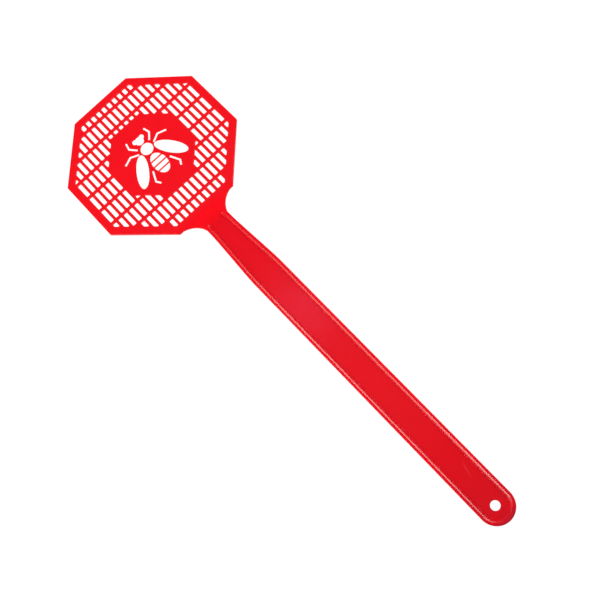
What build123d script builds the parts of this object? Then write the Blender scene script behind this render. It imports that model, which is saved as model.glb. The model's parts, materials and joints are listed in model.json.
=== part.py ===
from build123d import *
from math import atan2, pi, tan
import os

# Octagonal fly swatter: a flexible grille head on a shallow channel handle, lying face up.
# The swatter is a single moulding with a printed emblem. It is divided here where its
# section changes: frame, grille and plate in the head, gussets and ramp in the neck,
# floor, rails and end rim in the handle.
#
# Millimetres. +X runs from the head's tip to the handle's end, +Z is the printed face.
# The origin is the middle of the overall box, on the surface that the handle lies on.

# ---- driving dimensions ----
overall_length = 405.3
face_z = 3.6  # printed face of the head, level with the tops of the handle's rails

head_flats = 120.65  # octagon, across flats
window_flats = 109.4  # octagonal window inside the frame band
window_shift = -0.4  # the window sits slightly towards the tip
plate_flats = 62.3
frame_thickness = 2.0
plate_thickness = 1.8
grille_thickness = 1.5

long_rib_count = 21
long_rib_pitch = 5.04
long_rib_width = 2.2
cross_rib_count = 8
cross_rib_pitch = 13.67
cross_rib_width = 2.0
cross_rib_shift = -1.2  # middle of the row of cross ribs, from the head's centre
web_reach = 1.5  # solid strip between the plate's near flat and the next cross rib

neck_length = 11.2  # from the head's flat to the start of the handle
gusset_half_width = 22.0
gusset_radius = 17.5
ramp_length = 10.0  # the ramp's foot is at the start of the handle
under_ramp_length = 8.0  # where the back comes down from the web to the handle's

neck_width = 19.3
neck_straight = 7.5
taper_length = 42.0
taper_radius = 200.0
handle_width = 24.1
floor_thickness = 1.8
rail_top_width = 2.2
rail_foot_width = 3.9
hang_hole_diameter = 6.35
hang_hole_setback = 12.35  # hole centre from the handle's end

ink_thickness = 0.1
leg_width = 1.3

# ---- places that follow from them ----
head_x = (head_flats - overall_length) / 2
web_width = plate_flats * tan(pi / 8)  # the width of the plate's flat
neck_x = head_x + head_flats / 2
handle_x = neck_x + neck_length
taper_x = handle_x + neck_straight
shoulder_x = taper_x + taper_length
end_x = overall_length / 2
neck_half = neck_width / 2
handle_half = handle_width / 2
rim_x = end_x - handle_half  # centre of the handle's round end
taper_angle = atan2(handle_half - neck_half, taper_length)
mouth_half = neck_half - rail_top_width
foot_half = neck_half - rail_foot_width


def octagon(flats, x, mode=Mode.ADD):
    """A regular octagon centred on the X axis, with two flats square to it."""
    with Locations((x, 0)):
        RegularPolygon(flats / 2, 8, major_radius=False, rotation=22.5, mode=mode)


def handle_side(inset):
    """The +Y side of the handle's outline, moved inwards by inset."""
    lean = inset * tan(taper_angle / 2)
    return FilletPolyline(
        (handle_x, neck_half - inset),
        (taper_x + lean, neck_half - inset),
        (shoulder_x + lean, handle_half - inset),
        (rim_x, handle_half - inset),
        radius=(taper_radius + inset, taper_radius - inset),
    )


def rail_corners(half_width):
    """Corners of a rail's section, outer face at half_width, sloping down on the inside."""
    return (
        (half_width, 0),
        (half_width, face_z),
        (half_width - rail_top_width, face_z),
        (half_width - rail_foot_width, floor_thickness),
        (half_width - rail_foot_width, 0),
    )


# ---- head ----
with BuildPart() as head_frame:
    with BuildSketch(Plane.XY.offset(face_z - frame_thickness)):
        octagon(head_flats, head_x)
        octagon(window_flats, head_x + window_shift, Mode.SUBTRACT)
    extrude(amount=frame_thickness)

with BuildPart() as grille:
    with BuildSketch(Plane.XY.offset(face_z - grille_thickness)):
        with Locations((head_x + cross_rib_shift, 0)):
            with GridLocations(cross_rib_pitch, 0, cross_rib_count, 1):
                Rectangle(cross_rib_width, head_flats)
        with Locations((head_x, 0)):
            with GridLocations(0, long_rib_pitch, 1, long_rib_count):
                Rectangle(head_flats, long_rib_width)
        with Locations((head_x + plate_flats / 2, 0)):
            Rectangle(web_reach, web_width, align=(Align.MIN, Align.CENTER))
        octagon(window_flats, head_x + window_shift, Mode.INTERSECT)
        octagon(plate_flats, head_x, Mode.SUBTRACT)
    extrude(amount=grille_thickness)

with BuildPart() as print_plate:
    with BuildSketch(Plane.XY.offset(face_z - plate_thickness)):
        octagon(plate_flats, head_x)
    extrude(amount=plate_thickness)


# ---- printed emblem: a plain fly seen from above, facing the head's tip ----
def on_fly(forward, side):
    """A place on the emblem: forward is towards the head's tip."""
    return (head_x - forward, side)


with BuildPart() as printed_fly_body:
    with BuildSketch(Plane.XY.offset(face_z)):
        with Locations(on_fly(5.4, 0)):
            Ellipse(4.6, 4.8)
        with Locations(on_fly(14.0, 0)):
            Circle(3.3)
        with Locations(on_fly(15.6, 3.1), on_fly(15.6, -3.1)):
            Circle(1.9)
        with Locations(on_fly(-9.6, 0)):
            Ellipse(9.0, 5.6)
        with Locations(*[on_fly(forward, 0) for forward in (-5.2, -9.6, -14.0)]):
            Rectangle(1.2, 12.0, mode=Mode.SUBTRACT)
    extrude(amount=ink_thickness)

with BuildPart() as printed_fly_wings:
    with BuildSketch(Plane.XY.offset(face_z)):
        for side in (1, -1):
            with Locations(Location((*on_fly(-6.0, side * 13.6), 0), (0, 0, side * 34))):
                Ellipse(13.0, 4.6)
    extrude(amount=ink_thickness)

leg_routes = (
    ((9.5, 5.6), (14.5, 9.6), (19.5, 8.4)),
    ((6.0, 7.0), (9.0, 13.0), (6.5, 19.5)),
    ((-11.0, 8.0), (-18.5, 11.5), (-22.0, 9.5)),
)
with BuildPart() as printed_fly_legs:
    with BuildSketch(Plane.XY.offset(face_z)):
        for side in (1, -1):
            for route in leg_routes:
                with BuildLine() as leg:
                    Polyline(*[on_fly(forward, side * out) for forward, out in route])
                trace(leg.line, leg_width)
    extrude(amount=ink_thickness)

# ---- neck: a flat web that bends, between the head's flat and the handle ----
# The mouth is the start of the handle's channel. Its sides follow the rails' slopes, and
# the web slopes down between them to the handle's floor.
with BuildPart() as mouth:
    for height, half, start_x in (
        (face_z, mouth_half, handle_x - ramp_length),
        (floor_thickness, foot_half, handle_x),
    ):
        with BuildSketch(Plane.XY.offset(height)):
            with Locations((start_x, 0)):
                Rectangle(taper_x - start_x, 2 * half, align=(Align.MIN, Align.CENTER))
    loft(ruled=True)

with BuildPart() as neck_ramp:
    with BuildSketch(Plane.XZ):
        with BuildLine():
            Polyline(
                (neck_x, face_z - frame_thickness),
                (handle_x - under_ramp_length, face_z - frame_thickness),
                (handle_x, 0),
                (handle_x, face_z),
                (neck_x, face_z),
                close=True,
            )
        make_face()
    extrude(amount=neck_half, both=True)
    add(mouth.part, mode=Mode.SUBTRACT)

with BuildPart() as right_gusset:
    with BuildSketch(Plane.XY.offset(face_z - frame_thickness)):
        with BuildLine():
            sides = Polyline(
                (handle_x, neck_half),
                (neck_x, neck_half),
                (neck_x, gusset_half_width),
            )
            RadiusArc(sides @ 1, sides @ 0, -gusset_radius)
        make_face()
    extrude(amount=frame_thickness)

with BuildPart() as left_gusset:
    mirror(right_gusset.part, about=Plane.XZ)

# ---- handle: a shallow channel with a round end ----
with BuildPart() as handle_floor:
    with BuildSketch():
        with BuildLine():
            side_edge = handle_side(rail_foot_width)
            Line((handle_x, 0), side_edge @ 0)
            CenterArc((rim_x, 0), handle_half - rail_foot_width, 0, 90)
            mirror(about=Plane.XZ)
        make_face()
    extrude(amount=floor_thickness)
    with Locations((end_x - hang_hole_setback, 0, floor_thickness)):
        Hole(hang_hole_diameter / 2)

with BuildPart() as right_rail:
    with BuildLine() as outer_edge:
        handle_side(0)
    with BuildSketch(Plane.YZ.offset(handle_x)):
        with BuildLine():
            Polyline(*rail_corners(neck_half), close=True)
        make_face()
    sweep(path=outer_edge.wire())

with BuildPart() as left_rail:
    mirror(right_rail.part, about=Plane.XZ)

with BuildPart() as end_rim:
    with BuildSketch(Plane.YZ.offset(rim_x)):
        with BuildLine():
            Polyline(*rail_corners(handle_half), close=True)
        make_face()
    revolve(axis=Axis((rim_x, 0, 0), (0, 0, -1)), revolution_arc=180)

# ---- files, one per piece ----
pieces = {
    "head_frame": head_frame,
    "grille": grille,
    "print_plate": print_plate,
    "printed_fly_body": printed_fly_body,
    "printed_fly_wings": printed_fly_wings,
    "printed_fly_legs": printed_fly_legs,
    "neck_ramp": neck_ramp,
    "left_gusset": left_gusset,
    "right_gusset": right_gusset,
    "handle_floor": handle_floor,
    "left_rail": left_rail,
    "right_rail": right_rail,
    "end_rim": end_rim,
}
os.makedirs("parts", exist_ok=True)
for name, piece in pieces.items():
    piece.part.label = name
    export_step(piece.part, f"parts/{name}.step")
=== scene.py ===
import json
from math import atan2, cos, hypot, pi, radians, sin, sqrt, tan

import bpy
from mathutils import Matrix, Vector
from mathutils.geometry import delaunay_2d_cdt


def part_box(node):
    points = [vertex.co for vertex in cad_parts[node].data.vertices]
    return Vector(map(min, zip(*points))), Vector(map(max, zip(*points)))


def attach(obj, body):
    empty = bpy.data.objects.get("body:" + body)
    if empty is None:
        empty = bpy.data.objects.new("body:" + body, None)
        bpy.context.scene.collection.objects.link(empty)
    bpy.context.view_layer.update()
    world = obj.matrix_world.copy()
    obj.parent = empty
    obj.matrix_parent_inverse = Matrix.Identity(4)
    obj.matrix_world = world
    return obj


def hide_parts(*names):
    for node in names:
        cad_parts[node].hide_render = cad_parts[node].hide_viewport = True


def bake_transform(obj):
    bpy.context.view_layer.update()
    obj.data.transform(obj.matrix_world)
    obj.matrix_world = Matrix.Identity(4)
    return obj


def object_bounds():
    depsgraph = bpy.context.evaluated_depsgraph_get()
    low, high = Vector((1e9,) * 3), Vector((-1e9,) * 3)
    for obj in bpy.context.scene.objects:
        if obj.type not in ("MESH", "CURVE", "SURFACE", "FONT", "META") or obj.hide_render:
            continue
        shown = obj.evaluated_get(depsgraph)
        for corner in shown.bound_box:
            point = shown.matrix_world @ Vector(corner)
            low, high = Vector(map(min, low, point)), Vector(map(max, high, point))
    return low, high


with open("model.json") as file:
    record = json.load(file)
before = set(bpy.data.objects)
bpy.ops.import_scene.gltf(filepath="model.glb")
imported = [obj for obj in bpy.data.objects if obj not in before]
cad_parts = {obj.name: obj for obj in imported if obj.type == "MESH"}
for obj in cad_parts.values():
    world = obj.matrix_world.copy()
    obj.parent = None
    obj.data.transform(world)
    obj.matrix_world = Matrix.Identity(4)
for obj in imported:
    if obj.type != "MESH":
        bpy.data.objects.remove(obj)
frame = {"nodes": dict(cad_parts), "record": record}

cad_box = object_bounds()

# Lengths are in millimetres, in the frame's axes: +X from the head's tip to the handle's end,
# +Z out of the printed face. A mesh is turned into metres when it is made.
MM = 0.001


def box(node):
    """Lowest and highest corner of a CAD node, in millimetres."""
    low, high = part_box(node)
    return low / MM, high / MM


# ---- places read from the frame ----
frame_low, frame_high = box("head_frame")
grille_low, grille_high = box("grille")
plate_low, plate_high = box("print_plate")
ramp_high = box("neck_ramp")[1]
gusset_high = box("right_gusset")[1]
floor_low, floor_high = box("handle_floor")
rim_low, rim_high = box("end_rim")

face_z = frame_high.z
head_x = (plate_low.x + plate_high.x) / 2
window_x = (grille_low.x + grille_high.x) / 2
frame_apothem = frame_high.y
window_apothem = grille_high.y
plate_apothem = plate_high.y
frame_back_z = frame_low.z
plate_back_z = plate_low.z
grille_back_z = grille_low.z

neck_x = frame_high.x
handle_x = floor_low.x
neck_half = ramp_high.y
gusset_half = gusset_high.y
floor_z = floor_high.z
rim_x = rim_low.x
handle_half = rim_high.y

mounts = {mount["name"]: mount for mount in frame["record"]["mounts"]}
hole_x = mounts["hang_hole"]["pos_m"][0] / MM
hole_radius = mounts["hang_hole"]["dims"]["r_mm"]

# ---- sizes that a node's box doesn't give ----
long_rib_count = 21
long_rib_pitch = 5.04
long_rib_width = 2.2
cross_rib_count = 8
cross_rib_pitch = 13.67
cross_rib_width = 2.0
cross_rib_shift = -1.2
slot_corner = 0.55  # rounding of a slot's corners, seen from above
smallest_slot = 1.2  # a slot narrower than this is left solid

gusset_radius = 17.5
neck_straight = 7.5
taper_length = 42.0
taper_radius = 200.0
rail_top_width = 2.2
rail_foot_width = 3.9
rail_crest_radius = 3.5
rail_foot_radius = 0.02

head_corner = 1.0  # rounding of the octagon's corners, seen from above
head_edge = 0.28  # rounding of the edges between a face and a side
slot_edge = 0.1
handle_edge = 0.25
hole_edge = 0.25
step_gap = 0.35  # the thin back of the grille starts this far inside the window and the plate

dish_x = handle_x - 11  # where the neck's top starts to dip
dish_half = 7.8  # half the dish's width
mouth_x = handle_x - 5  # where the dip starts to turn into the handle's channel
under_ramp_x = handle_x - 8  # where the neck's back starts to come down to the handle's
under_ramp_side = 1.2  # width of the slope back up to the web, on either side of that

head_seam_x = window_x + window_apothem + 1.7  # where the head's mesh meets the neck's
handle_seam_x = handle_x + 1.5  # where the neck's mesh meets the handle's
nearly = 1e-4  # places closer together than this are the same place

# How the plastic's look changes along X: where each change starts and where it ends.
into_web = (head_seam_x, head_seam_x + 4)
web_painted_light_out = (handle_x - 1.5, handle_x)
web_dull_out = (handle_x, handle_x + 5)
painted_shade_in = (handle_x, handle_x + 3)
gloss_in = (handle_x + 13, handle_x + 85)  # from dull and a little darkened by painted shade to glossy without painted shade
into_end = (rim_x - 20, rim_x + 2)  # from the straight handle to its round end
rim_painted_shade_in = (rim_x + 5, rim_x + 10.5)
rim_dull_in = (rim_x - 1, rim_x + 8)

web_painted_light = 0.5  # painted light: how much brighter the neck's web is painted than the head
spot_painted_light = 0.65  # the same painted light for the round spot in the web's middle
spot_x = neck_x + 6.7
spot_length = 7.5
spot_width = 7
belly_painted_light = 0.35  # the same painted light for the middle of the handle
belly_x = rim_x - 95
belly_half = 55

start_painted_shade = 0.12  # painted shade of the handle's start
floor_painted_shade = 0.25  # painted shade of the handle's floor beside the hole
rim_painted_shade = 0.75  # painted shade of the round end's rim, on top of the floor's
start_dull = 0.65  # of the neck and the handle's start
web_dull = 0.2  # of the neck, on top of that
rim_dull = 0.8


# ---- flat outlines: lists of points, anticlockwise seen from above ----
def octagon(apothem, x):
    """Corners of an octagon with two flats square to the X axis."""
    reach = apothem / cos(pi / 8)
    angles = [pi / 8 + k * pi / 4 for k in range(8)]
    return [(x + reach * cos(a), reach * sin(a)) for a in angles]


def clipped(corners, normal, distance):
    """The part of a convex outline where point . normal <= distance."""
    kept = []
    for a, b in zip(corners, corners[1:] + corners[:1]):
        side_a = a[0] * normal[0] + a[1] * normal[1] - distance
        side_b = b[0] * normal[0] + b[1] * normal[1] - distance
        if side_a <= 0:
            kept.append(a)
        if side_a * side_b < 0:
            share = side_a / (side_a - side_b)
            kept.append((a[0] + share * (b[0] - a[0]), a[1] + share * (b[1] - a[1])))
    return kept


def area(corners):
    """Area inside an outline."""
    pairs = zip(corners, corners[1:] + corners[:1])
    return sum(a[0] * b[1] - b[0] * a[1] for a, b in pairs) / 2


def arc(centre, start, end, steps):
    """Points of an arc round a centre, from one spoke to another by the shorter way."""
    turn = start.angle_signed(end)
    points = []
    for step in range(steps + 1):
        spoke = start.copy()
        spoke.rotate(Matrix.Rotation(-turn * step / steps, 2))
        points.append((centre.x + spoke.x, centre.y + spoke.y))
    return points


def rounded(corners, steps=5):
    """An outline with its corners (x, y, radius) turned into arcs of that radius."""
    points = []
    count = len(corners)
    for k in range(count):
        x, y, radius = corners[k]
        here = Vector((x, y))
        back = Vector(corners[k - 1][:2]) - here
        ahead = Vector(corners[(k + 1) % count][:2]) - here
        if radius <= 0:
            points.append((x, y))
            continue
        half = back.angle(ahead) / 2
        longest = 0.48 * min(back.length, ahead.length)
        radius = min(radius, longest * tan(half))
        back.normalize()
        ahead.normalize()
        centre = here + (back + ahead).normalized() * radius / sin(half)
        start = here + back * radius / tan(half) - centre
        end = here + ahead * radius / tan(half) - centre
        points += arc(centre, start, end, steps)
    return points


def on_seam(a, b):
    """Whether an edge lies where two of the meshes meet."""
    seams = (head_seam_x, handle_seam_x)
    return any(abs(a[0] - x) < nearly and abs(b[0] - x) < nearly for x in seams)


def offset(points, amount):
    """An outline moved outwards by amount. Its edges that lie on a seam stay there."""
    count = len(points)
    normals = []
    amounts = []
    for k in range(count):
        (ax, ay), (bx, by) = points[k], points[(k + 1) % count]
        length = hypot(bx - ax, by - ay)
        normals.append(((by - ay) / length, (ax - bx) / length))
        amounts.append(0.0 if on_seam((ax, ay), (bx, by)) else amount)
    moved = []
    for k in range(count):
        x, y = points[k]
        (mx, my), (nx, ny) = normals[k - 1], normals[k]
        before, after = amounts[k - 1], amounts[k]
        if before == after:
            share = before / (1 + mx * nx + my * ny)
            moved.append((x + share * (mx + nx), y + share * (my + ny)))
        else:
            cross = mx * ny - my * nx
            across = (before * ny - after * my) / cross
            along = (after * mx - before * nx) / cross
            moved.append((x + across, y + along))
    return moved


def outward(points):
    """The direction straight out of an outline at each of its points, seams left out."""
    directions = []
    for k, here in enumerate(points):
        a, b = points[k - 1], points[(k + 1) % len(points)]
        a = here if on_seam(a, here) else a
        b = here if on_seam(here, b) else b
        length = hypot(b[0] - a[0], b[1] - a[1])
        directions.append(((b[1] - a[1]) / length, (a[0] - b[0]) / length))
    return directions


# ---- how the plastic's look varies, with painted light and shade in its colour ----
def rise(value, start, end):
    """0 up to start, 1 from end on, and a smooth curve between them."""
    share = min(max((value - start) / (end - start), 0.0), 1.0)
    return share * share * (3 - 2 * share)


def painted_light_and_shade(point):
    """Painted light and shade at a point, as a share of the way from the shaded floor red to the
    face red.

    It is 0 at the handle's floor, painted shade in the recess, 1 at the printed face, and more in
    the neck's thin web and in the middle of the handle, painted light there. Towards the handle's
    round end it falls, painted shade.
    """
    height = min(max((point.z - floor_z) / (face_z - floor_z), 0), 1)
    away = hypot((point.x - spot_x) / spot_length, point.y / spot_width)
    spot = 1 - rise(away, 0.5, 1)
    web = rise(point.x, *into_web) * (1 - rise(point.x, *web_painted_light_out))
    belly = 1 - rise(abs(point.x - belly_x), 0, belly_half)
    inner = 1 - rise(point.x, *into_end)
    return height * inner + web * (web_painted_light + spot_painted_light * spot) + belly_painted_light * belly


def painted_shade(point):
    """How much painted shade darkens the plastic's colour towards a bluer red: most round the
    handle's end, a little at its start.
    """
    start = rise(point.x, *painted_shade_in) * (1 - rise(point.x, *gloss_in))
    beside_hole = rise(point.x, *into_end)
    rim = rise(point.x, *rim_painted_shade_in)
    return start_painted_shade * start + floor_painted_shade * beside_hole + rim_painted_shade * rim


def dull(point):
    """How dull the surface is: most in the neck and round the handle's end."""
    start = rise(point.x, *into_web) * (1 - rise(point.x, *gloss_in))
    web = rise(point.x, *into_web) * (1 - rise(point.x, *web_dull_out))
    rim = rise(point.x, *rim_dull_in)
    return start_dull * start + web_dull * web + rim_dull * rim


# ---- a closed mesh made of loops, bands between loops, and filled faces ----
class Shell:
    """Points, the directions that their surface faces, and the faces between them."""

    def __init__(self):
        self.points = []
        self.normals = []
        self.faces = []

    def vertex(self, point, normal):
        """Adds a point and the direction that its surface faces."""
        self.points.append(Vector(point))
        self.normals.append(Vector(normal).normalized())
        return len(self.points) - 1

    def loop(self, outline, z, tilt):
        """Adds an outline at height z. tilt is the surface's angle: 0 faces out, 90 faces up."""
        up, out = sin(radians(tilt)), cos(radians(tilt))
        return [
            self.vertex((x, y, z), (out * nx, out * ny, up))
            for (x, y), (nx, ny) in zip(outline, outward(outline))
        ]

    def band(self, upper, lower):
        """Joins two loops of the same length, leaving out the edges that lie on a seam."""
        count = len(upper)
        for k in range(count):
            a, b = upper[k], upper[(k + 1) % count]
            c, d = lower[(k + 1) % count], lower[k]
            if not on_seam(self.points[a], self.points[b]):
                self.faces.append((a, d, c, b))

    def stack(self, loops):
        """Joins each loop to the next, from the top one down."""
        for upper, lower in zip(loops, loops[1:]):
            self.band(upper, lower)

    def fill(self, loops, inner=(), up=True):
        """Fills the first loop, around the other loops and through the inner vertices."""
        places = [index for loop in loops for index in loop]
        outlines = []
        first = 0
        for loop in loops:
            outlines.append(list(range(first, first + len(loop))))
            first += len(loop)
        places += inner
        flat = [self.points[index].xy for index in places]
        inside_only = 1  # the kind of output: triangles inside the outlines
        filled = delaunay_2d_cdt(flat, [], outlines, inside_only, 1e-7)
        _, _, triangles, places_of, _, outlines_of = filled
        for triangle, inside in zip(triangles, outlines_of):
            if any(outline > 0 for outline in inside):
                continue
            corners = [places[places_of[corner][0]] for corner in triangle]
            self.faces.append(corners if up else corners[::-1])

    def mesh_object(self, name):
        """Makes the Blender object, in metres, with the normals that the shell was given."""
        mesh = bpy.data.meshes.new(name)
        mesh.from_pydata([point * MM for point in self.points], [], self.faces)
        mesh.shade_smooth()
        mesh.normals_split_custom_set_from_vertices(self.normals)
        for look in (painted_light_and_shade, painted_shade, dull):
            values = mesh.attributes.new(look.__name__, "FLOAT", "POINT").data
            for value, point in zip(values, self.points):
                value.value = look(point)
        piece = bpy.data.objects.new(name, mesh)
        bpy.context.scene.collection.objects.link(piece)
        return piece


def round_over(shell, outline, top_z, back_z, radius, steps=(4, 4)):
    """Loops down an outline's side, its top and its back edge rounded in so many steps.

    A hole's outline goes clockwise.
    """
    top = [90 - 90 * step / steps[0] for step in range(steps[0] + 1)]
    back = [-90 * step / steps[1] for step in range(steps[1] + 1)]
    loops = []
    for edge_z, inwards, angles in ((top_z, -1, top), (back_z, 1, back)):
        for angle in angles:
            inset = radius * (1 - cos(radians(angle)))
            z = edge_z + inwards * radius * (1 - abs(sin(radians(angle))))
            loops.append(shell.loop(offset(outline, -inset), z, angle))
    shell.stack(loops)
    return loops


# ---- head ----
def slots():
    """Outlines of the grille's slots, each clipped by the window and by the plate."""
    rows = [(k - long_rib_count / 2) * long_rib_pitch for k in range(long_rib_count + 1)]
    columns = [
        head_x + cross_rib_shift + (k - cross_rib_count / 2) * cross_rib_pitch
        for k in range(cross_rib_count + 1)
    ]
    half_row = (long_rib_pitch - long_rib_width) / 2
    half_column = (cross_rib_pitch - cross_rib_width) / 2
    sides = [(cos(k * pi / 4), sin(k * pi / 4)) for k in range(8)]
    for column in columns:
        for row in rows:
            slot = [
                (column - half_column, row - half_row),
                (column + half_column, row - half_row),
                (column + half_column, row + half_row),
                (column - half_column, row + half_row),
            ]
            for side in sides:
                slot = clipped(slot, side, window_apothem + window_x * side[0])
            if len(slot) < 3:
                continue
            beside_plate = [
                clipped(slot, (-side[0], -side[1]), -plate_apothem - head_x * side[0])
                for side in sides
            ]
            slot = max(beside_plate, key=area)
            if len(slot) < 3:
                continue
            size = max(hypot(b[0] - a[0], b[1] - a[1]) for a, b in zip(slot, slot[1:] + slot[:1]))
            if area(slot) / size < smallest_slot:
                continue
            yield rounded([(x, y, slot_corner) for x, y in slot], steps=4)


def head():
    """Octagonal frame, grille and plate: level in front, each with its own thickness."""
    shell = Shell()
    corners = clipped(octagon(frame_apothem, head_x), (1, 0), head_seam_x)
    corners = [(x, y, 0 if abs(x - head_seam_x) < nearly else head_corner) for x, y in corners]
    side = round_over(shell, rounded(corners), face_z, frame_back_z, head_edge)

    mouths = []
    backs = []
    for slot in slots():
        loops = round_over(shell, slot[::-1], face_z, grille_back_z, slot_edge, (3, 2))
        mouths.append(loops[0][::-1])
        backs.append(loops[-1][::-1])
    shell.fill([side[0]] + mouths)

    # The back steps down from the grille to the thicker frame and plate.
    window = octagon(window_apothem + step_gap, window_x)
    plate = octagon(plate_apothem - step_gap, head_x)
    window_rim = shell.loop(window, frame_back_z, -90)
    window_root = shell.loop(window, grille_back_z, -90)
    plate_rim = shell.loop(plate, plate_back_z, -90)
    plate_root = shell.loop(plate, grille_back_z, -90)
    shell.band(window_rim, window_root)
    shell.band(plate_root, plate_rim)
    shell.fill([side[-1], window_rim], up=False)
    shell.fill([window_root, plate_root] + backs, up=False)
    shell.fill([plate_rim], up=False)
    return shell.mesh_object("head_moulding")


# ---- the handle's section ----
slope = atan2(face_z - floor_z, rail_foot_width - rail_top_width)
crest_start = rail_top_width - rail_crest_radius * tan(slope / 2)
crest_end = crest_start + rail_crest_radius * sin(slope)
foot_end = rail_foot_width + rail_foot_radius * tan(slope / 2)
foot_start = foot_end - rail_foot_radius * sin(slope)


def section_z(inset):
    """Height of the handle's top, at a distance in from its outer edge."""
    if inset <= crest_start:
        return face_z
    if inset <= crest_end:
        run = inset - crest_start
        return face_z - rail_crest_radius + sqrt(rail_crest_radius**2 - run**2)
    if inset <= foot_start:
        return floor_z + (rail_foot_width - inset) * tan(slope)
    if inset <= foot_end:
        run = foot_end - inset
        return floor_z + rail_foot_radius - sqrt(rail_foot_radius**2 - run**2)
    return floor_z


def section_insets(steps=6):
    """Distances in from the outer edge that catch the section's curves."""
    turns = [sin(slope * k / steps) for k in range(steps + 1)]
    crest = [crest_start + rail_crest_radius * turn for turn in turns]
    foot = [foot_end - rail_foot_radius * turn for turn in turns[::-1]]
    return crest + foot


def section_tilt(inset):
    """Angle of the section's surface from level, in degrees."""
    step = 1e-4
    return atan2(section_z(inset) - section_z(inset + step), step) * 180 / pi


# ---- neck ----
gusset_start = (neck_x, gusset_half)
kink = (handle_x, neck_half)


def gusset_arc(steps=18):
    """Points of the gusset's concave edge, from the kink to the head's flat."""
    a, b = Vector(kink), Vector(gusset_start)
    chord = b - a
    height = sqrt(gusset_radius**2 - chord.length_squared / 4)
    centre = (a + b) / 2 + Vector((chord.y, -chord.x)).normalized() * height
    return arc(centre, a - centre, b - centre, steps)


def neck_outline():
    """The neck seen from above, from the seam in the frame's band to the seam in the handle."""
    corner_y = frame_apothem * tan(pi / 8)
    seam_y = corner_y + neck_x - head_seam_x
    upper = [(handle_seam_x, neck_half, 0)]
    upper += [(x, y, 0) for x, y in gusset_arc()]
    upper += [(neck_x, corner_y, head_corner), (head_seam_x, seam_y, 0)]
    lower = [(x, -y, radius) for x, y, radius in reversed(upper)]
    return rounded(lower + upper)


def neck_top(x, y):
    """Height of the neck's top: a level web that dips, first as a dish, then as a channel."""
    depth = rise(x, dish_x, handle_seam_x) * (face_z - floor_z)
    dish = 1 - rise(abs(y), 0, dish_half)
    channel = (face_z - section_z(neck_half - abs(y))) / (face_z - floor_z)
    along = rise(x, mouth_x, handle_seam_x)
    return face_z - depth * (dish + (channel - dish) * along)


def neck_back(x, y):
    """Height of the neck's back: it comes down from the frame's back to the handle's."""
    along = rise(x, under_ramp_x, handle_x)
    across = 1 - rise(abs(y), neck_half, neck_half + under_ramp_side)
    return frame_back_z * (1 - along * across)


def surface_normal(height, x, y, sign):
    """Direction that a height function's surface faces: up where sign is 1, down where -1."""
    step = 0.01
    slope_x = (height(x + step, y) - height(x - step, y)) / (2 * step)
    slope_y = (height(x, y + step) - height(x, y - step)) / (2 * step)
    return (-slope_x * sign, -slope_y * sign, sign)


def neck():
    """The thin web that bends: gussets at the sides, and a slope down to the handle's floor."""
    shell = Shell()
    loops = round_over(shell, neck_outline(), face_z, frame_back_z, head_edge)
    for loop in loops[len(loops) // 2 :]:
        for index in loop:
            point = shell.points[index]
            point.z -= frame_back_z - neck_back(point.x, point.y)

    across = [neck_half - inset for inset in section_insets()]
    across += [across[-1] * k / 10 for k in range(9, 0, -1)]
    across = [-y for y in across] + [0.0] + across[::-1]

    def vertex(height, x, y, sign):
        return shell.vertex((x, y, height(x, y)), surface_normal(height, x, y, sign))

    seam_top = [vertex(neck_top, handle_seam_x, y, 1) for y in across]
    top_spacing = 0.25
    short_of_head = 1
    columns = int((handle_seam_x - head_seam_x - short_of_head) / top_spacing)
    inner = [
        vertex(neck_top, handle_seam_x - k * top_spacing, y, 1)
        for k in range(1, columns)
        for y in across
    ]
    top = loops[0]
    start = next(k for k in range(len(top)) if shell.points[top[k]].x > handle_seam_x - nearly)
    shell.fill([top[: start + 1] + seam_top + top[start + 1 :]], inner)

    # The back has a grid of points where it comes down and where the neck bends.
    back_spacing = Vector((0.5, 0.8))
    inner = [
        vertex(neck_back, handle_seam_x - k * back_spacing.x, row * back_spacing.y, -1)
        for k in range(1, 36)
        for row in range(-11, 12)
    ]
    shell.fill([loops[-1]], inner, up=False)
    return shell.mesh_object("neck_moulding")


# ---- handle ----
def handle_outline():
    """The handle seen from above, from the seam to its round end."""
    taper_x = handle_x + neck_straight
    shoulder_x = taper_x + taper_length
    bend = atan2(handle_half - neck_half, taper_length)

    def corner(x, y, turn, steps=8):
        """The corner at (x, y), where the edge turns outwards (1) or back (-1), as an arc."""
        reach = taper_radius * tan(bend / 2)
        first = 0 if turn > 0 else bend
        begin_x = x - reach * cos(first)
        begin_y = y - reach * sin(first)
        side = turn * taper_radius
        angles = [first + turn * bend * step / steps for step in range(steps + 1)]
        return [
            (begin_x + side * (sin(a) - sin(first)), begin_y - side * (cos(a) - cos(first)))
            for a in angles
        ]

    upper = [(handle_seam_x, neck_half)]
    upper += corner(taper_x, neck_half, 1)
    upper += corner(shoulder_x, handle_half, -1)
    # Points along the straight stretch carry the changes of look along it.
    upper += [(shoulder_x + (rim_x - shoulder_x) * k / 6, handle_half) for k in range(1, 6)]
    steps = 48
    angles = [-pi / 2 + pi * k / steps for k in range(steps + 1)]
    end = [(rim_x + handle_half * cos(a), handle_half * sin(a)) for a in angles]
    lower = [(x, -y) for x, y in upper]
    return lower + end + upper[::-1]


def handle():
    """A shallow channel with rounded rails, a round end and a hang hole."""
    shell = Shell()
    outline = handle_outline()
    side = round_over(shell, outline, face_z, floor_low.z, handle_edge, (5, 5))
    inside = [side[0]]
    for inset in section_insets():
        points = offset(outline, -inset)
        inside.append(shell.loop(points, section_z(inset), 90 + section_tilt(inset)))
    shell.stack(inside[::-1])

    steps = 40
    angles = [2 * pi * k / steps for k in range(steps)]
    hole = [(hole_x + hole_radius * cos(a), hole_radius * sin(a)) for a in angles]
    rings = round_over(shell, hole[::-1], floor_z, floor_low.z, hole_edge, (3, 3))
    shell.fill([inside[-1], rings[0][::-1]])
    shell.fill([side[-1], rings[-1][::-1]], up=False)
    return shell.mesh_object("handle_moulding")
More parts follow.
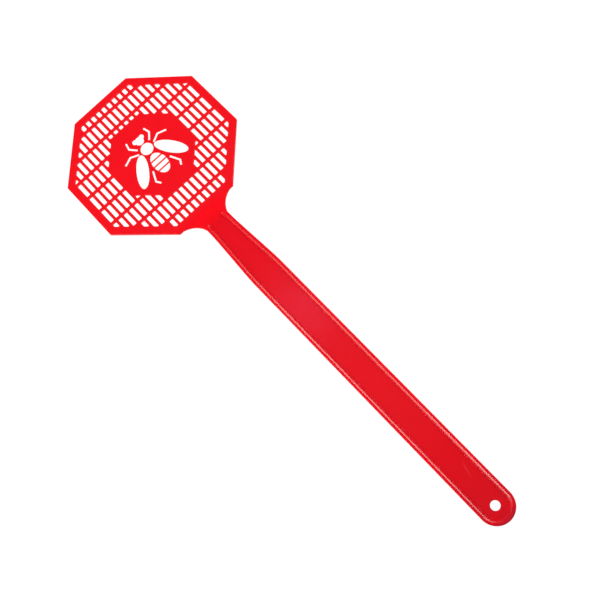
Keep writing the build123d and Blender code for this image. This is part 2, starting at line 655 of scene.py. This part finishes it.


# ---- materials ----
# A pair of colours is the two ends of a mottling.
# the floor reds are the face reds with painted shade, for the handle's recessed floor
shaded_floor_reds = (0.805, 0.0040, 0.0112), (0.830, 0.0045, 0.0122)
face_reds = (0.890, 0.0043, 0.0108), (0.915, 0.0048, 0.0118)
# painted shade: the darker, bluer red that the handle's end and start are mixed towards
painted_shade_red = (0.55, 0.0101, 0.021)
scuffed = (0.9, 0.9, 0.9)
ink_whites = (0.94, 0.90, 0.90), (0.99, 0.99, 0.99)
noise_range = (0.3, 0.7)  # most of a noise's values lie in it

scratch_start = (rim_x - 34, 4.6)
scratch_end = (rim_x - 20.3, 1.2)
scratch_width = 0.9
scratch_strength = 0.03  # how much of the scratch is whitened plastic


def node_material(name):
    """An empty node material, its nodes, its links and its shader."""
    material = bpy.data.materials.new(name)
    material.use_nodes = True
    nodes, links = material.node_tree.nodes, material.node_tree.links
    return material, nodes, links, nodes["Principled BSDF"]


def noise(nodes, links, place, scale, detail=2.0, roughness=0.5):
    """A noise texture's value, scale being how many features there are in a metre."""
    texture = nodes.new("ShaderNodeTexNoise")
    texture.inputs["Scale"].default_value = scale
    texture.inputs["Detail"].default_value = detail
    texture.inputs["Roughness"].default_value = roughness
    links.new(place, texture.inputs["Vector"])
    return texture.outputs["Fac"]


def mapped(nodes, links, value, source, target):
    """A value's range, source, mapped to another, target, and clamped."""
    node = nodes.new("ShaderNodeMapRange")
    node.inputs["From Min"].default_value = source[0]
    node.inputs["From Max"].default_value = source[1]
    node.inputs["To Min"].default_value = target[0]
    node.inputs["To Max"].default_value = target[1]
    links.new(value, node.inputs["Value"])
    return node.outputs["Result"]


def mixed(nodes, links, factor, first, second):
    """A colour between two others, or past them where the factor isn't between 0 and 1."""
    node = nodes.new("ShaderNodeMix")
    node.data_type = "RGBA"
    node.clamp_factor = False
    links.new(factor, node.inputs["Factor"])
    for socket, colour in ((node.inputs["A"], first), (node.inputs["B"], second)):
        if isinstance(colour, tuple):
            socket.default_value = (*colour, 1)
        else:
            links.new(colour, socket)
    return node.outputs["Result"]


def scratch(nodes, links, place):
    """A mask that is 1 along a faint straight scratch in the handle's floor."""
    start, end = Vector(scratch_start), Vector(scratch_end)
    middle = (start + end) / 2 * MM
    along = end - start
    turned = nodes.new("ShaderNodeMapping")
    turned.vector_type = "TEXTURE"
    turned.inputs["Location"].default_value = (*middle, 0)
    turned.inputs["Rotation"].default_value = (0, 0, atan2(along.y, along.x))
    turned.inputs["Scale"].default_value = (along.length / 2 * MM, scratch_width / 2 * MM, 1)
    links.new(place, turned.inputs["Vector"])
    parts = nodes.new("ShaderNodeSeparateXYZ")
    links.new(turned.outputs["Vector"], parts.inputs["Vector"])
    product = nodes.new("ShaderNodeMath")
    product.operation = "MULTIPLY"
    for axis, factor in zip(("X", "Y"), product.inputs):
        distance = nodes.new("ShaderNodeMath")
        distance.operation = "ABSOLUTE"
        links.new(parts.outputs[axis], distance.inputs[0])
        links.new(mapped(nodes, links, distance.outputs["Value"], (0.3, 1), (1, 0)), factor)
    return product.outputs["Value"]


def attribute(nodes, name):
    """The value of an attribute that is stored at a mesh's vertices."""
    node = nodes.new("ShaderNodeAttribute")
    node.attribute_name = name
    return node.outputs["Fac"]


def red_plastic():
    """Glossy moulded polypropylene: slightly mottled, with a faint orange peel.

    Its colour carries painted shade and light: a deeper red low down in the handle and round its
    end, and a brighter red in the neck's web and the handle's middle.
    """
    material, nodes, links, shader = node_material("red_plastic")
    place = nodes.new("ShaderNodeTexCoord").outputs["Object"]
    mottle = noise(nodes, links, place, 45, detail=3)
    mottle = mapped(nodes, links, mottle, noise_range, (0, 1))
    shaded_floor_colour = mixed(nodes, links, mottle, *shaded_floor_reds)
    face_colour = mixed(nodes, links, mottle, *face_reds)
    # painted light and shade: from the shaded floor red at the handle's floor, through the face
    # red, to brighter than it in the neck's web and the handle's middle
    colour = mixed(nodes, links, attribute(nodes, "painted_light_and_shade"), shaded_floor_colour, face_colour)
    # painted shade: mixed towards a darker, bluer red round the handle's end and at its start
    colour = mixed(nodes, links, attribute(nodes, "painted_shade"), colour, painted_shade_red)
    scuff = mapped(nodes, links, scratch(nodes, links, place), (0, 1), (0, scratch_strength))
    colour = mixed(nodes, links, scuff, colour, scuffed)
    links.new(colour, shader.inputs["Base Color"])

    cloud = mapped(nodes, links, noise(nodes, links, place, 160), noise_range, (0.12, 0.16))
    links.new(cloud, shader.inputs["Roughness"])
    gloss = mapped(nodes, links, attribute(nodes, "dull"), (0, 1), (0.5, 0))
    links.new(gloss, shader.inputs["Specular IOR Level"])

    peel = noise(nodes, links, place, 900)
    bump = nodes.new("ShaderNodeBump")
    bump.inputs["Strength"].default_value = 0.25
    bump.inputs["Distance"].default_value = 0.0002
    links.new(peel, bump.inputs["Height"])
    links.new(bump.outputs["Normal"], shader.inputs["Normal"])
    shader.inputs["IOR"].default_value = 1.49
    return material


def white_ink():
    """Screen-printed ink: matt, with a fine grain and small pinholes of uneven cover."""
    material, nodes, links, shader = node_material("white_ink")
    place = nodes.new("ShaderNodeTexCoord").outputs["Object"]
    cover = noise(nodes, links, place, 700, detail=4, roughness=0.6)
    solid = mapped(nodes, links, cover, (0.3, 0.45), (0, 1))
    links.new(mixed(nodes, links, solid, *ink_whites), shader.inputs["Base Color"])
    grain = mapped(nodes, links, cover, noise_range, (0.45, 0.6))
    links.new(grain, shader.inputs["Roughness"])
    return material


def pale_floor():
    """A white table that is lit from within, so that it stays white under the swatter."""
    material, _, _, shader = node_material("pale_floor")
    shader.inputs["Base Color"].default_value = (0.12, 0.12, 0.12, 1)
    shader.inputs["Roughness"].default_value = 0.6
    shader.inputs["Specular IOR Level"].default_value = 0
    shader.inputs["Emission Color"].default_value = (1, 1, 1, 1)
    shader.inputs["Emission Strength"].default_value = 0.92
    return material


# ---- pieces ----
plastic = red_plastic()
ink = white_ink()

head_piece = head()
neck_piece = neck()
handle_piece = handle()
for piece in (head_piece, neck_piece, handle_piece):
    piece.data.materials.append(plastic)

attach(head_piece, "head")
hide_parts("head_frame", "grille", "print_plate")
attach(handle_piece, "handle")
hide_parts("handle_floor", "left_rail", "right_rail", "end_rim")
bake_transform(neck_piece)
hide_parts("neck_ramp", "left_gusset", "right_gusset")

for name in ("printed_fly_body", "printed_fly_wings", "printed_fly_legs"):
    for slot in frame["nodes"][name].material_slots:
        slot.material = ink

# ---- studio ----
# The floor is low enough for the head to stay above it when the neck bends down.
neck_flex = frame["record"]["behaviour"]["joints"][0]
swing = radians(max(neck_flex["range_deg"]))
head_length = neck_flex["pos_m"][0] - cad_box[0][0]
clearance = 0.01  # in metres, as is reach
reach = 6.0
floor_mesh = bpy.data.meshes.new("floor")
floor_mesh.from_pydata(
    [(-reach, -reach, 0), (reach, -reach, 0), (reach, reach, 0), (-reach, reach, 0)],
    [],
    [(0, 1, 2, 3)],
)
floor = bpy.data.objects.new("floor", floor_mesh)
floor.location.z = -head_length * sin(swing) - clearance
bpy.context.scene.collection.objects.link(floor)
floor_mesh.materials.append(pale_floor())


def softbox(name, centre, aim, width, height, power, colour=(1, 1, 1)):
    """A rectangular area light that points at aim, in metres and watts."""
    data = bpy.data.lights.new(name, "AREA")
    data.shape = "RECTANGLE"
    data.size, data.size_y = width, height
    data.energy = power
    data.color = colour
    light = bpy.data.objects.new(name, data)
    direction = Vector(aim) - Vector(centre)
    turn = direction.to_track_quat("-Z", "Y").to_matrix().to_4x4()
    light.matrix_world = Matrix.Translation(centre) @ turn
    bpy.context.scene.collection.objects.link(light)


softbox("left_hot", (0.17, -0.66, 0.78), (0.06, 0, 0), 0.3, 0.35, 2.4)
softbox("left_warm", (-0.14, -0.66, 0.78), (-0.05, 0, 0), 0.3, 0.35, 0.68)
softbox("right_hot", (-0.06, 0.8, 0.62), (0, 0, 0), 0.6, 0.45, 3.8)
softbox("left_fill", (-0.3, -0.6, 0.4), (-0.1, 0, 0), 1.1, 0.5, 4.6)
softbox("right_fill", (-0.3, 0.6, 0.4), (-0.1, 0, 0), 1.1, 0.5, 3.2)
softbox("ceiling", (-0.25, 0.07, 1), (-0.25, 0.07, 0), 0.6, 0.45, 0.08, (0.8, 0.85, 1))
softbox("cool_panel", (-0.255, 0.07, 0.95), (-0.255, 0.07, 0), 0.076, 0.12, 0.033, (0.3, 0.5, 1))

world = bpy.data.worlds.new("studio")
world.use_nodes = True
background = world.node_tree.nodes["Background"]
background.inputs["Color"].default_value = (1, 1, 1, 1)
background.inputs["Strength"].default_value = 0.085
bpy.context.scene.world = world
bpy.context.scene.view_settings.view_transform = "Standard"

# ---- camera ----
# The photo's viewing angle, found by fitting a camera to the octagon and the straight handle.
stand_offset = Vector((0.3158, -0.0382, 0.5560))  # from the head's centre, in metres
aim_offset = Vector((0.15397, 0.00251, 0))
up_angle = radians(137.22)  # the picture's up, seen from above, from +X towards +Y

camera_data = bpy.data.cameras.new("camera")
camera_data.sensor_width = 36
camera_data.lens = 52.63
camera = bpy.data.objects.new("camera", camera_data)
bpy.context.scene.collection.objects.link(camera)
head_centre = Vector((head_x, 0, face_z)) * MM
stand = head_centre + stand_offset
aim = head_centre + aim_offset
forward = (aim - stand).normalized()
right = forward.cross(Vector((cos(up_angle), sin(up_angle), 0))).normalized()
upward = right.cross(forward)
turn = Matrix((right, upward, -forward)).transposed().to_4x4()
camera.matrix_world = Matrix.Translation(stand) @ turn
bpy.context.scene.camera = camera
